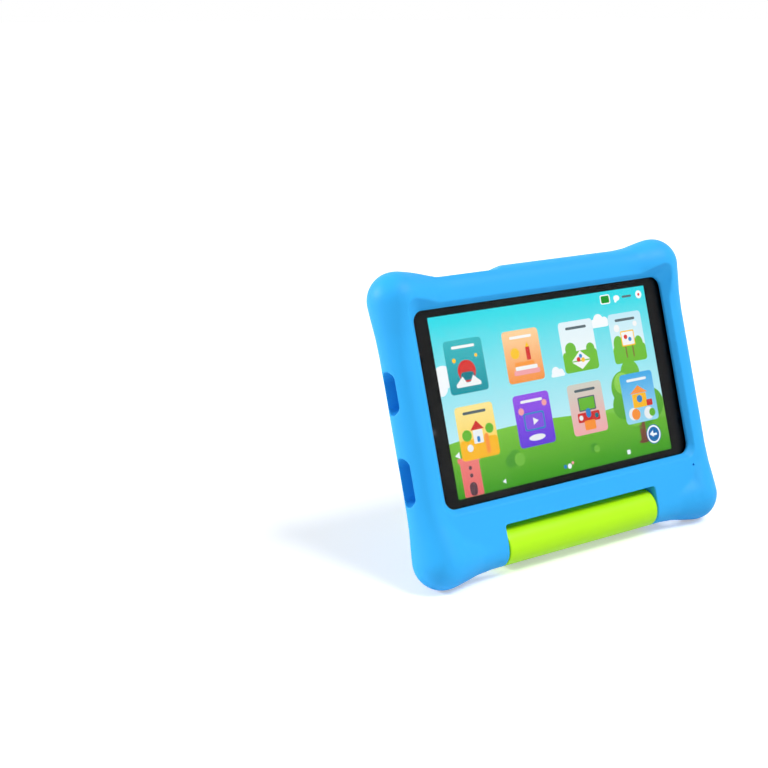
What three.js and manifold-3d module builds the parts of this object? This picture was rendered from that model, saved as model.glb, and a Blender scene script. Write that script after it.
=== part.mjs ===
// Kids toy tablet: an 8 inch tablet in a thick moulded bumper, with a hinged loop stand that is
// also its carrying handle. Millimetres, +Z up, the screen faces -Y.
// The tablet is drawn upright about the middle of its screen face: x right, y back, z up.
import * as THREE from 'three';
import { ConvexGeometry } from 'three/addons/geometries/ConvexGeometry.js';
import { mergeVertices } from 'three/addons/utils/BufferGeometryUtils.js';
import Module from 'manifold-3d';

const wasm = await Module();
wasm.setup();

// ---- clearances ----
const GAP = 0.3;              // between neighbouring pieces
const STAND_SIDE_GAP = 0.6;   // stand to the cheeks of its notch
const STOW_GAP = 0.8;         // stowed loop to the walls of its groove
const BARREL_INSET = 0.15;    // stand barrel below the bumper's rim
const CUT = 30;               // how far a cutting tool runs past a face

// ---- tablet ----
const TABLET = { width: 208, height: 121.5, thickness: 9.2, corner: 8 };
const GLASS_T = 0.9;
const BEZEL = { side: 16, top: 5.25 };
const DISPLAY_T = 1.2;
const BACKLIGHT_T = 1.2;
const BACKLIGHT_MARGIN = 1;
const WEB_T = 0.7;
const HOUSING_WALL = 1.5;
const HOUSING_BACK = 0.9;

// ---- bumper ----
const RIM_R = 12.25;
const RIM_PROUD = 5.45;       // front crest of the rim ahead of the glass
const MARGIN = { side: 13.3, top: 18.65, bottom: 38.55 };
const BULGE_R = 17.3;
const BULGE_INSET_X = 15.8;   // bulge centre in from the bumper's side
const BULGE_INSET_Z = 12.8;   // bulge centre in from the bumper's top and bottom
const BULGE_FADE = [          // how much of the bulge is left at each distance along the rim
  { reach: 10, share: 0.62 },
  { reach: 19, share: 0.22 },
  { reach: 32, share: 0 },
];
const LIP = { side: 6.15, top: 2.35, thickness: 2.2, slope: 5.2 };
const GLASS_OPENING_CORNER = 7;
const GROOVE_DEPTH = 2.3;     // groove floor below the back panel
const PLATE_GAP = 0.5;        // groove floor to the stowed plate
const PANEL = { side: 12.3, top: 18.6, bottom: 16.1, corner: 9, draft: 3 };

// ---- stand ----
const STAND_WIDTH = 119.4;
const LOOP_LENGTH = 122;      // hinge axis to the tip of the loop
const LOOP_STRAIGHT = 55;     // length of the loop's straight sides
const PLATE_T = 5.6;
const WALL_T = 2.7;
const LIP_R = 17.2;           // hinge axis to the edge of the trough's wall
const LIP_ANGLE = 153;        // where that edge lies when the loop is stowed, degrees
const NOTCH_CLEARANCE = 0.5;
const HAND_HOLE = { start: 17, startHalf: 26, half: 38.5, widest: 52, end: 105 };
const RIB_X = 26;
const RIB_T = 2;
const CATCH = { width: 13, depth: 3, height: 3 };
const PIN = { r: 2, head_r: 3.2, head_t: 1.6, tipGap: 0.5 };
const BUSHING = { wall: 1.4, length: 9 };
const TROUGH_END = 12;        // how far up the plate the end walls reach

// ---- standing pose ----
const LEAN = 18.2;            // degrees the screen leans back

// ---- places worked out from the sizes above ----
const halfW = TABLET.width / 2;
const halfH = TABLET.height / 2;
const screen = { width: TABLET.width - 2 * BEZEL.side, height: TABLET.height - 2 * BEZEL.top, corner: 2 };
const midY = RIM_R - RIM_PROUD;
const sideX = halfW + MARGIN.side;
const topZ = halfH + MARGIN.top;
const bottomZ = -halfH - MARGIN.bottom;
const hinge = { y: midY, z: bottomZ + RIM_R };
const barrelR = RIM_R - BARREL_INSET;
const plateInner = barrelR - PLATE_T;
const notchR = LIP_R + NOTCH_CLEARANCE;
const grooveY = midY + plateInner - PLATE_GAP;
const panelY = grooveY + GROOVE_DEPTH;
const bulge = { x: sideX - BULGE_INSET_X, top: topZ - BULGE_INSET_Z, bottom: bottomZ + BULGE_INSET_Z };
const displayY = GLASS_T + GAP;
const backlightY = displayY + DISPLAY_T + GAP;
const webY = backlightY + BACKLIGHT_T + GAP;
const innerY = webY + WEB_T + GAP;                         // front of the rear housing
const backWallY = TABLET.thickness - HOUSING_BACK;         // inside of its back wall

// ---- materials ----
function material(color, roughness, metalness = 0) {
  return new THREE.MeshStandardMaterial({ color, roughness, metalness });
}
const BLUE = material(0x3fb5ff, 0.55);
const GREEN = material(0xa8f000, 0.4);
const GLASS = material(0x0b0c10, 0.08);
const BLACK = material(0x16171a, 0.45);
const WHITE = material(0xe8ecec, 0.5);
const GREY = material(0x55585c, 0.5);
const SILVER = material(0xc8ccd0, 0.3, 0.9);
const STEEL = material(0xb0b4b8, 0.35, 0.9);
const BRASS = material(0xc9a24a, 0.4, 0.8);
const CIRCUIT = material(0x14532d, 0.6);
const FLEX = material(0xb5651d, 0.5);
const CREAM = material(0xe6d7a0, 0.4);

// ---- solids ----
function solid(geometry) {
  const bare = geometry.index ? geometry.clone() : geometry;
  bare.deleteAttribute('normal');
  bare.deleteAttribute('uv');
  const merged = mergeVertices(bare, 1e-5);
  return new wasm.Manifold(new wasm.Mesh({
    numProp: 3,
    vertProperties: new Float32Array(merged.attributes.position.array),
    triVerts: new Uint32Array(merged.index.array),
  }));
}

function geometryOf(manifold) {
  const mesh = manifold.getMesh();
  const geometry = new THREE.BufferGeometry();
  geometry.setAttribute('position', new THREE.BufferAttribute(mesh.vertProperties, 3));
  geometry.setIndex(new THREE.BufferAttribute(mesh.triVerts, 1));
  return geometry;
}

function box(width, depth, height, x = 0, y = 0, z = 0) {
  return solid(new THREE.BoxGeometry(width, depth, height).translate(x, y, z));
}

// A slab between two depths, centred on x and z.
function slab(width, height, front, back, x = 0, z = 0) {
  return box(width, back - front, height, x, (front + back) / 2, z);
}

function cylinder(axis, radius, from, to, a, b, segments = 24) {
  const shape = new THREE.CylinderGeometry(radius, radius, to - from, segments);
  const middle = (from + to) / 2;
  if (axis === 'x') {
    return solid(shape.rotateZ(Math.PI / 2).translate(middle, a, b));
  }
  if (axis === 'z') {
    return solid(shape.rotateX(Math.PI / 2).translate(a, b, middle));
  }
  return solid(shape.translate(a, middle, b));
}

function roundedRectangle(width, height, radius) {
  const shape = new THREE.Shape();
  const x = width / 2;
  const z = height / 2;
  shape.moveTo(-x + radius, -z);
  shape.lineTo(x - radius, -z);
  shape.absarc(x - radius, -z + radius, radius, -Math.PI / 2, 0);
  shape.lineTo(x, z - radius);
  shape.absarc(x - radius, z - radius, radius, 0, Math.PI / 2);
  shape.lineTo(-x + radius, z);
  shape.absarc(-x + radius, z - radius, radius, Math.PI / 2, Math.PI);
  shape.lineTo(-x, -z + radius);
  shape.absarc(-x + radius, -z + radius, radius, Math.PI, 1.5 * Math.PI);
  return shape;
}

// An outline in x and z, made thick from one depth to another.
function thick(shape, front, back, x = 0, z = 0, curveSegments = 8) {
  const geometry = new THREE.ExtrudeGeometry(shape, {
    depth: back - front,
    bevelEnabled: false,
    curveSegments,
  });
  return solid(geometry.rotateX(Math.PI / 2).translate(x, back, z));
}

// A tapered block between two outlines that lie at two depths.
function tapered(nearShape, nearY, farShape, farY, x = 0, z = 0, divisions = 6) {
  const near = nearShape.getPoints(divisions).map((p) => new THREE.Vector3(p.x + x, nearY, p.y + z));
  const far = farShape.getPoints(divisions).map((p) => new THREE.Vector3(p.x + x, farY, p.y + z));
  return solid(new ConvexGeometry([...near, ...far]));
}

function union(pieces) {
  return pieces.reduce((all, piece) => all.add(piece));
}

function cut(body, tools) {
  return tools.reduce((left, tool) => left.subtract(tool), body);
}

function part(name, manifold, look) {
  const mesh = new THREE.Mesh(geometryOf(manifold), look);
  mesh.name = name;
  return mesh;
}

// ---- stand outlines, measured from the hinge axis ----
function loopOutline(grow) {
  const half = STAND_WIDTH / 2 + grow;
  const shape = new THREE.Shape();
  shape.moveTo(-half, 0);
  shape.lineTo(half, 0);
  shape.lineTo(half, LOOP_STRAIGHT);
  shape.absellipse(0, LOOP_STRAIGHT, half, LOOP_LENGTH - LOOP_STRAIGHT + grow, 0, Math.PI);
  shape.lineTo(-half, 0);
  return shape;
}

function handHoleOutline(shrink) {
  const { start, startHalf, half, widest, end } = HAND_HOLE;
  const near = start + shrink;
  const side = half - shrink;
  const shape = new THREE.Shape();
  shape.moveTo(-startHalf, near);
  shape.lineTo(startHalf, near);
  shape.bezierCurveTo(startHalf + 7, near, side, near + 12, side, widest);
  shape.absellipse(0, widest, side, end - widest - shrink, 0, Math.PI);
  shape.bezierCurveTo(-side, near + 12, -startHalf - 7, near, -startHalf, near);
  return shape;
}

// ---- bumper ----
const portZ = {
  speakerUpper: 14,
  speakerLower: -halfH + 22.75,
  jack: halfH - 20.75,
  usb: 5,
  card: -halfH + 31.75,
};
const SIDE_OPENINGS = [
  { side: -1, z: portZ.speakerUpper, length: 23 },
  { side: -1, z: portZ.speakerLower, length: 26 },
  { side: 1, z: portZ.jack - 1, length: 30 },
  { side: 1, z: portZ.usb, length: 15 },
  { side: 1, z: portZ.card, length: 32 },
];
const SIDE_OPENING_R = 5.2;
const SIDE_OPENING_Y = 7.2;
const SCOOP = { fromSide: 33.3, length: 62, depth: 2.7, ramp: 8 };
const SLOT = { front: 2.5, back: 12.5, inset: 4 };
const CAMERA = { x: -halfW + 12, z: halfH - 19.25, lensUp: 5.5, flashDown: 5.3 };
const scoopMiddle = -sideX + SCOOP.fromSide + SCOOP.length / 2;
const CAMERA_WELL = { width: 26, height: 38, bottomWidth: 16, bottomHeight: 29, wall: 1.6, lower: 0.9 };
const MIC_HOLE = { x: 96.7, z: -66.6, r: 0.8 };

// The points of a ball whose middle lies in the rim's own plane.
function ball(x, z, radius, detail = 32) {
  const sphere = new THREE.SphereGeometry(radius, detail, detail / 2 + 2);
  const points = [];
  const place = sphere.attributes.position;
  for (let i = 0; i < place.count; i += 1) {
    points.push(new THREE.Vector3(place.getX(i) + x, place.getY(i) + midY, place.getZ(i) + z));
  }
  return points;
}

// A bulge runs out along the rim in steps that shrink to the rim's own radius.
// place gives a ball's middle from its reach along the rim and its share of the bulge.
function bulgeArm(place) {
  const balls = [ball(...place(0, 1), BULGE_R, 28)];
  for (const { reach, share } of BULGE_FADE) {
    balls.push(ball(...place(reach, share), RIM_R + share * (BULGE_R - RIM_R), 24));
  }
  const links = [];
  for (let i = 1; i < balls.length; i += 1) {
    links.push(solid(new ConvexGeometry([...balls[i - 1], ...balls[i]])));
  }
  return links;
}

function bumperBody() {
  const x = sideX - RIM_R;
  const corners = [
    ball(-x, topZ - RIM_R, RIM_R),
    ball(x, topZ - RIM_R, RIM_R),
    ball(-x, hinge.z, RIM_R),
    ball(x, hinge.z, RIM_R),
  ];
  const pieces = [solid(new ConvexGeometry(corners.flat()))];
  for (const side of [-1, 1]) {
    for (const [z, inward] of [[bulge.top, -1], [bulge.bottom, 1]]) {
      const rimZ = z === bulge.top ? topZ - RIM_R : hinge.z;
      const across = (share) => side * (x + share * (bulge.x - x));
      const along = (share) => rimZ + share * (z - rimZ);
      pieces.push(...bulgeArm((reach, share) => [across(share), z + inward * reach]));
      pieces.push(...bulgeArm((reach, share) => [side * (bulge.x - reach), along(share)]));
    }
  }
  return union(pieces);
}

function screenOpening() {
  const width = TABLET.width - 2 * LIP.side;
  const height = TABLET.height - 2 * LIP.top;
  const reach = LIP.slope * (CUT / RIM_PROUD);
  const inner = roundedRectangle(width, height, GLASS_OPENING_CORNER);
  const outer = roundedRectangle(width + 2 * reach, height + 2 * reach, GLASS_OPENING_CORNER + reach);
  return [thick(inner, -CUT, 1), tapered(inner, -LIP.thickness, outer, -LIP.thickness - CUT)];
}

function tabletPocket() {
  const grown = roundedRectangle(TABLET.width + 2 * GAP, TABLET.height + 2 * GAP, TABLET.corner);
  return thick(grown, -GAP, TABLET.thickness + GAP);
}

function panelRecess() {
  const width = 2 * (sideX - PANEL.side);
  const top = topZ - PANEL.top;
  const bottom = bottomZ + PANEL.bottom;
  const reach = PANEL.draft * (CUT / RIM_R);
  const inner = roundedRectangle(width, top - bottom, PANEL.corner);
  const outer = roundedRectangle(width + 2 * reach, top - bottom + 2 * reach, PANEL.corner + reach);
  return tapered(inner, panelY, outer, panelY + CUT, 0, (top + bottom) / 2);
}

function standGroove() {
  const loop = thick(loopOutline(STOW_GAP), grooveY, grooveY + CUT, 0, hinge.z, 24);
  const island = thick(handHoleOutline(STOW_GAP), 0, panelY, 0, hinge.z, 24);
  return cut(loop, [island]);
}

function cameraWell() {
  const { width, height, bottomWidth, bottomHeight } = CAMERA_WELL;
  const floorShape = roundedRectangle(bottomWidth, bottomHeight, bottomWidth / 2 - 0.01);
  const rimShape = roundedRectangle(width, height, width / 2 - 0.01);
  const mouthY = midY + RIM_R;
  return [
    tapered(floorShape, TABLET.thickness, rimShape, mouthY, CAMERA.x, CAMERA.z),
    thick(rimShape, mouthY - 0.1, mouthY + CUT, CAMERA.x, CAMERA.z),
  ];
}

// The raised lip that stands round the camera's well.
function cameraCollar() {
  const { width, height, wall, lower } = CAMERA_WELL;
  const outline = roundedRectangle(width + 2 * wall, height + 2 * wall, width / 2 + wall - 0.01);
  return thick(outline, TABLET.thickness, midY + RIM_R - lower, CAMERA.x, CAMERA.z);
}

function sideOpening({ side, z, length }) {
  const outline = roundedRectangle(2 * SIDE_OPENING_R, length, SIDE_OPENING_R - 0.01);
  const geometry = new THREE.ExtrudeGeometry(outline, { depth: CUT, bevelEnabled: false, curveSegments: 6 });
  geometry.rotateX(Math.PI / 2).rotateZ(Math.PI / 2);
  const start = side > 0 ? halfW - 1 : -halfW + 1 - CUT;
  return solid(geometry.translate(start, SIDE_OPENING_Y, z));
}

function buttonScoop() {
  const { depth, ramp } = SCOOP;
  const from = scoopMiddle - SCOOP.length / 2;
  const to = scoopMiddle + SCOOP.length / 2;
  const floor = topZ - depth;
  const dish = new THREE.Shape();
  dish.moveTo(from + ramp, floor);
  dish.lineTo(to - ramp, floor);
  dish.lineTo(to + ramp, floor + 2 * depth);
  dish.lineTo(from - ramp, floor + 2 * depth);
  const slotWidth = to - from - 2 * (ramp + SLOT.inset);
  const slotMiddle = (halfH - 1 + topZ + CUT) / 2;
  const slot = slab(slotWidth, topZ - halfH + CUT, SLOT.front, SLOT.back, scoopMiddle, slotMiddle);
  return [thick(dish, -CUT, CUT), slot];
}

function bumperCase() {
  const cheek = STAND_WIDTH / 2 + STAND_SIDE_GAP;
  const bushingR = PIN.r + GAP + BUSHING.wall + GAP;
  const panelled = cut(bumperBody(), [panelRecess(), standGroove()]);
  return cut(union([panelled, cameraCollar()]), [
    ...screenOpening(),
    tabletPocket(),
    cylinder('x', notchR, -cheek, cheek, hinge.y, hinge.z, 48),
    cylinder('x', bushingR, -cheek - BUSHING.length - GAP, cheek + BUSHING.length + GAP, hinge.y, hinge.z),
    ...cameraWell(),
    ...SIDE_OPENINGS.map(sideOpening),
    ...buttonScoop(),
    cylinder('y', MIC_HOLE.r, -CUT, -RIM_PROUD + 3, MIC_HOLE.x, MIC_HOLE.z, 12),
  ]);
}

// ---- stand: loop plate with a trough along its root, drawn stowed about the hinge axis ----
function arcPoints(radius, fromDegrees, toDegrees, steps) {
  const points = [];
  for (let i = 0; i <= steps; i += 1) {
    const angle = THREE.MathUtils.degToRad(fromDegrees + ((toDegrees - fromDegrees) * i) / steps);
    points.push(new THREE.Vector2(radius * Math.cos(angle), radius * Math.sin(angle)));
  }
  return points;
}

// A profile in y and z, made thick along x.
function acrossX(points, from, to) {
  const profile = new THREE.Shape(points);
  const geometry = new THREE.ExtrudeGeometry(profile, { depth: to - from, bevelEnabled: false });
  geometry.rotateX(Math.PI / 2).rotateZ(Math.PI / 2);
  return solid(geometry.translate(from, 0, 0));
}

function standBody() {
  const half = STAND_WIDTH / 2;
  const innerR = barrelR - WALL_T;
  const lip = arcPoints(LIP_R, LIP_ANGLE, LIP_ANGLE, 1)[0];
  const lipInner = new THREE.Vector2(lip.x + WALL_T * 0.9, lip.y + WALL_T * 0.4);
  const innerStart = -THREE.MathUtils.radToDeg(Math.acos(plateInner / innerR));
  const trough = [
    new THREE.Vector2(barrelR, TROUGH_END),
    ...arcPoints(barrelR, 0, -180, 20),
    lip,
    lipInner,
    ...arcPoints(innerR, -183, innerStart, 14),
    new THREE.Vector2(plateInner, TROUGH_END),
  ].reverse();
  const endWall = [
    new THREE.Vector2(barrelR, TROUGH_END),
    ...arcPoints(barrelR, 0, -180, 20),
    lip,
    lipInner,
    new THREE.Vector2(plateInner, TROUGH_END),
  ].reverse();
  const rib = [
    ...arcPoints(barrelR - 1, -60, -180, 10),
    new THREE.Vector2(-innerR - 1, 4),
    new THREE.Vector2(-innerR + 3, 2.5),
    new THREE.Vector2(-2, 1),
    new THREE.Vector2(plateInner - 1.5, 4.5),
    new THREE.Vector2(plateInner + 1, TROUGH_END - 3),
  ].reverse();
  const plate = cut(thick(loopOutline(0), plateInner, barrelR, 0, 0, 24), [
    thick(handHoleOutline(0), 0, CUT, 0, 0, 24),
  ]);
  const pinHoleR = PIN.r + GAP;
  const body = union([
    acrossX(trough, -half, half),
    acrossX(endWall, -half, -half + WALL_T),
    acrossX(endWall, half - WALL_T, half),
    acrossX(rib, -RIB_X - RIB_T / 2, -RIB_X + RIB_T / 2),
    acrossX(rib, RIB_X - RIB_T / 2, RIB_X + RIB_T / 2),
    plate,
    box(CATCH.width, CATCH.depth, CATCH.height, 0, plateInner - CATCH.depth / 2 + 0.5, TROUGH_END - 3),
  ]);
  return cut(body, [cylinder('x', pinHoleR, -half - 1, half + 1, 0, 0)]);
}

function hingePin(side) {
  const inner = STAND_WIDTH / 2 - WALL_T - GAP;
  const tip = STAND_WIDTH / 2 + STAND_SIDE_GAP + BUSHING.length - PIN.tipGap;
  const shank = cylinder('x', PIN.r, inner - 0.5, tip, 0, 0);
  const head = cylinder('x', PIN.head_r, inner - PIN.head_t, inner, 0, 0);
  const pin = shank.add(head);
  return side > 0 ? pin : solid(geometryOf(pin).rotateZ(Math.PI));
}

function hingeBushing(side) {
  const start = STAND_WIDTH / 2 + STAND_SIDE_GAP;
  const outer = cylinder('x', PIN.r + GAP + BUSHING.wall, start, start + BUSHING.length, 0, 0);
  const ring = cut(outer, [cylinder('x', PIN.r + GAP, start - 1, start + BUSHING.length + 1, 0, 0)]);
  return side > 0 ? ring : solid(geometryOf(ring).rotateZ(Math.PI));
}

// ---- tablet shells ----
const POCKET = {
  width: screen.width + 2 * (BACKLIGHT_MARGIN + GAP),
  height: screen.height + 2 * (BACKLIGHT_MARGIN + GAP),
};
const FRONT_CAMERA = { x: -halfW + 9, z: -12.5, r: 2.2 };
const LIGHT_SENSOR = { x: -halfW + 8.5, z: halfH - 27.05, r: 1 };
const JACK = { y: 6.4, r: 1.75, body: 6, length: 12 };
const USB = { width: 8.9, height: 2.9, length: 7.5 };
const CARD = { width: 13, height: 1.3, length: 14 };
const FLEX_SLOT = { x: screen.width / 2 - 3, width: 1.6, height: 24 };
const POWER = { x: scoopMiddle + 13, length: 9 };
const VOLUME = { x: scoopMiddle - 8, length: 20 };
const BUTTON = { width: 2, proud: 0.9, rise: 4, flange: 1, flangeGrow: 1 };
const BOARD = { width: 58, inset: 10, endGap: 9.25, forward: 1.7, t: 0.8 };
const SCREW = { inset: 4, head_r: 1.5, head_t: 0.4, r: 0.7, length: 2.4 };
const BOSS_R = 2;
const portX = halfW - HOUSING_WALL;                        // inside of the housing's side wall
const innerTop = halfH - HOUSING_WALL;
const boardFront = backWallY - BOARD.forward;
const boardArea = {
  left: halfW - BOARD.inset - BOARD.width,
  right: halfW - BOARD.inset,
  bottom: BOARD.endGap - innerTop,
  top: innerTop - BOARD.endGap,
};

const screwPlaces = [
  [boardArea.left + SCREW.inset, boardArea.bottom + SCREW.inset],
  [boardArea.left + SCREW.inset, boardArea.top - SCREW.inset],
  [boardArea.right - SCREW.inset, boardArea.bottom + SCREW.inset],
  [boardArea.right - SCREW.inset, boardArea.top - SCREW.inset],
];

function tabletOutline(inset = 0) {
  return roundedRectangle(
    TABLET.width - 2 * inset,
    TABLET.height - 2 * inset,
    Math.max(TABLET.corner - inset, 0.5),
  );
}

function midFrame() {
  const webBack = webY + WEB_T;
  const blank = thick(tabletOutline(), displayY, webBack);
  const bosses = screwPlaces.map(([x, z]) => (
    cylinder('y', BOSS_R, webBack - 0.2, boardFront - GAP, x, z, 16)
  ));
  return cut(union([blank, ...bosses]), [
    thick(roundedRectangle(POCKET.width, POCKET.height, screen.corner), 0, webY),
    ...screwPlaces.map(([x, z]) => cylinder('y', SCREW.r + GAP, webY - 1, CUT, x, z, 12)),
    cylinder('y', FRONT_CAMERA.r + GAP, 0, CUT, FRONT_CAMERA.x, FRONT_CAMERA.z, 16),
    cylinder('y', LIGHT_SENSOR.r + GAP, 0, CUT, LIGHT_SENSOR.x, LIGHT_SENSOR.z, 12),
    slab(JACK.length + 2 * GAP, JACK.body + 2 * GAP, webY, CUT, portX - JACK.length / 2, portZ.jack),
    cylinder('x', JACK.r + GAP, halfW - 5, halfW + 1, JACK.y, portZ.jack, 16),
    slab(FLEX_SLOT.width, FLEX_SLOT.height, webY - 1, CUT, FLEX_SLOT.x, 0),
  ]);
}

function rearHousing() {
  const inner = tabletOutline(HOUSING_WALL);
  const speakerSlots = [];
  for (const opening of SIDE_OPENINGS.filter((o) => o.side < 0)) {
    for (const step of [-6, -2, 2, 6]) {
      speakerSlots.push(slab(5, 2.4, 6, 7.4, -halfW, opening.z + step));
    }
  }
  const usbY = innerY + USB.height / 2;
  const slots = [POWER, VOLUME].map(({ x, length }) => (
    slab(length + 2 * GAP, 6, innerY + 0.5, innerY + 0.5 + BUTTON.width + 2 * GAP, x, halfH - 1)
  ));
  return cut(thick(tabletOutline(), innerY, TABLET.thickness), [
    thick(inner, 0, backWallY),
    ...speakerSlots,
    ...slots,
    slab(6, USB.width + 2 * GAP, innerY - 1, usbY + USB.height / 2 + GAP, halfW, portZ.usb),
    cylinder('x', JACK.r + GAP, halfW - 5, halfW + 1, JACK.y, portZ.jack, 16),
    slab(6, CARD.width - 1, innerY + 0.3, innerY + 1.5, halfW, portZ.card),
    cylinder('y', 3 + GAP, 0, CUT, CAMERA.x, CAMERA.z + CAMERA.lensUp, 20),
    cylinder('y', 1.2, 0, CUT, CAMERA.x, CAMERA.z - CAMERA.flashDown, 12),
  ]);
}

function coverGlass() {
  return thick(tabletOutline(), 0, GLASS_T);
}

function displayPanel() {
  return thick(roundedRectangle(screen.width, screen.height, screen.corner), displayY, displayY + DISPLAY_T);
}

function backlight() {
  const width = screen.width + 2 * BACKLIGHT_MARGIN;
  const height = screen.height + 2 * BACKLIGHT_MARGIN;
  return thick(roundedRectangle(width, height, screen.corner), backlightY, backlightY + BACKLIGHT_T);
}

// ---- cameras ----
const WINDOW = { width: 13, height: 26, t: 1, trim: 0.9 };
const cameraY = TABLET.thickness + GAP;

function cameraWindow() {
  const outline = roundedRectangle(WINDOW.width, WINDOW.height, WINDOW.width / 2 - 0.01);
  return thick(outline, cameraY, cameraY + WINDOW.t, CAMERA.x, CAMERA.z);
}

function cameraTrim() {
  const grow = (by) => roundedRectangle(
    WINDOW.width + 2 * by,
    WINDOW.height + 2 * by,
    WINDOW.width / 2 + by - 0.01,
  );
  const outer = thick(grow(GAP + WINDOW.trim), cameraY, cameraY + WINDOW.t + 0.2, CAMERA.x, CAMERA.z);
  return cut(outer, [thick(grow(GAP), 0, CUT, CAMERA.x, CAMERA.z)]);
}

function cameraLens() {
  const front = cameraY + WINDOW.t + GAP;
  return cylinder('y', 3.6, front, front + 0.5, CAMERA.x, CAMERA.z + CAMERA.lensUp, 28);
}

function flashLens() {
  const front = cameraY + WINDOW.t + GAP;
  return cylinder('y', 1.9, front, front + 0.4, CAMERA.x, CAMERA.z - CAMERA.flashDown, 20);
}

function rearCamera() {
  const body = slab(8.5, 8.5, innerY, backWallY - GAP, CAMERA.x, CAMERA.z + CAMERA.lensUp);
  return body.add(cylinder('y', 3, innerY, TABLET.thickness, CAMERA.x, CAMERA.z + CAMERA.lensUp, 20));
}

// ---- electronics ----
const BATTERY = { width: 98, fromSide: 32.5, fromBottom: 9.25, fromTop: 23.25 };
const battery = {
  left: -portX + BATTERY.fromSide,
  right: -portX + BATTERY.fromSide + BATTERY.width,
  bottom: BATTERY.fromBottom - innerTop,
  top: innerTop - BATTERY.fromTop,
};

function between(area, front, back) {
  const { left, right, bottom, top } = area;
  return slab(right - left, top - bottom, front, back, (left + right) / 2, (bottom + top) / 2);
}

const LEAD = { width: 6, t: 0.6, z: 20, overBoard: 2 };
const SHIELD = { width: 30, height: 34, fromLeft: 9, z: 24 };
const MIC = { size: 3, t: 0.9 };
const ANTENNA = { width: 34, height: 5, t: 0.3 };

function mainBoard() {
  const tools = screwPlaces.map(([x, z]) => cylinder('y', SCREW.r + GAP, 0, CUT, x, z, 12));
  const edge = boardArea.right;
  tools.push(slab(2 * (edge - portX + USB.length + 1), USB.width + 1, 0, CUT, edge, portZ.usb));
  tools.push(slab(2 * (edge - portX + JACK.length + 1), JACK.body + 1, 0, CUT, edge, portZ.jack));
  return cut(between(boardArea, boardFront, boardFront + BOARD.t), tools);
}

function usbPort() {
  const middleX = portX - GAP - USB.length / 2;
  const shell = slab(USB.length, USB.width, innerY, innerY + USB.height, middleX, portZ.usb);
  const mouth = slab(
    USB.length,
    USB.width - 1,
    innerY + 0.5,
    innerY + USB.height - 0.5,
    middleX + 1,
    portZ.usb,
  );
  return cut(shell, [mouth]);
}

function headphoneJack() {
  const middleX = portX - GAP - JACK.length / 2;
  const body = slab(JACK.length, JACK.body, webY + GAP, backWallY - GAP, middleX, portZ.jack);
  return cut(body, [cylinder('x', JACK.r, middleX - JACK.length / 2 + 1, halfW, JACK.y, portZ.jack, 16)]);
}

function cardSlot() {
  const middleX = portX - GAP - CARD.length / 2;
  return slab(CARD.length, CARD.width, innerY, innerY + CARD.height, middleX, portZ.card);
}

function displayFlex() {
  const leg = 0.3;
  const front = webY;
  const bend = boardFront - GAP - leg;
  const up = box(leg, bend + leg - front, FLEX_SLOT.height - 4, FLEX_SLOT.x, (front + bend + leg) / 2, 0);
  return up.add(slab(8, FLEX_SLOT.height - 4, bend, bend + leg, FLEX_SLOT.x - 4 + leg / 2, 0));
}

function batteryLead() {
  const length = boardArea.left - battery.right + LEAD.overBoard;
  const back = boardFront - GAP;
  return slab(length, LEAD.width, back - LEAD.t, back, battery.right + GAP + length / 2, LEAD.z);
}

function shieldCan() {
  const { width, height, fromLeft, z } = SHIELD;
  return slab(width, height, innerY, boardFront - GAP, boardArea.left + fromLeft + width / 2, z);
}

function microphone() {
  const back = boardFront - GAP;
  return slab(MIC.size, MIC.size, back - MIC.t, back, boardArea.right - 6, boardArea.bottom + 12);
}

function wifiAntenna() {
  const x = (boardArea.left + boardArea.right) / 2;
  const back = backWallY - GAP;
  return slab(ANTENNA.width, ANTENNA.height, back - ANTENNA.t, back, x, innerTop - 4.5);
}

function boardScrew([x, z]) {
  const back = boardFront + BOARD.t + GAP;
  const head = cylinder('y', SCREW.head_r, back, back + SCREW.head_t, x, z, 16);
  return head.add(cylinder('y', SCREW.r, back - SCREW.length, back + 0.1, x, z, 12));
}

// ---- buttons on the tablet's top edge ----
const buttonY = innerY + 0.5 + GAP + BUTTON.width / 2;
const buttonFoot = halfH + BUTTON.proud - BUTTON.rise;
const SWITCH = { width: 4, height: 1.5, travel: 0.4 };
const switchTop = buttonFoot - SWITCH.travel;

function button({ x, length }) {
  const body = box(length, BUTTON.width, BUTTON.rise, x, buttonY, buttonFoot + BUTTON.rise / 2);
  const flangeW = length + 2 * BUTTON.flangeGrow;
  return body.add(box(flangeW, BUTTON.width, BUTTON.flange, x, buttonY, buttonFoot + BUTTON.flange / 2));
}

function keySwitch(x) {
  return box(SWITCH.width, BUTTON.width, SWITCH.height, x, buttonY, switchTop - SWITCH.height / 2);
}

function buttonBoard() {
  const left = VOLUME.x - VOLUME.length / 2;
  const right = POWER.x + POWER.length / 2;
  const top = switchTop - SWITCH.height - GAP;
  return box(right - left, BUTTON.width + 0.4, 0.8, (left + right) / 2, buttonY, top - 0.4);
}

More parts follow.
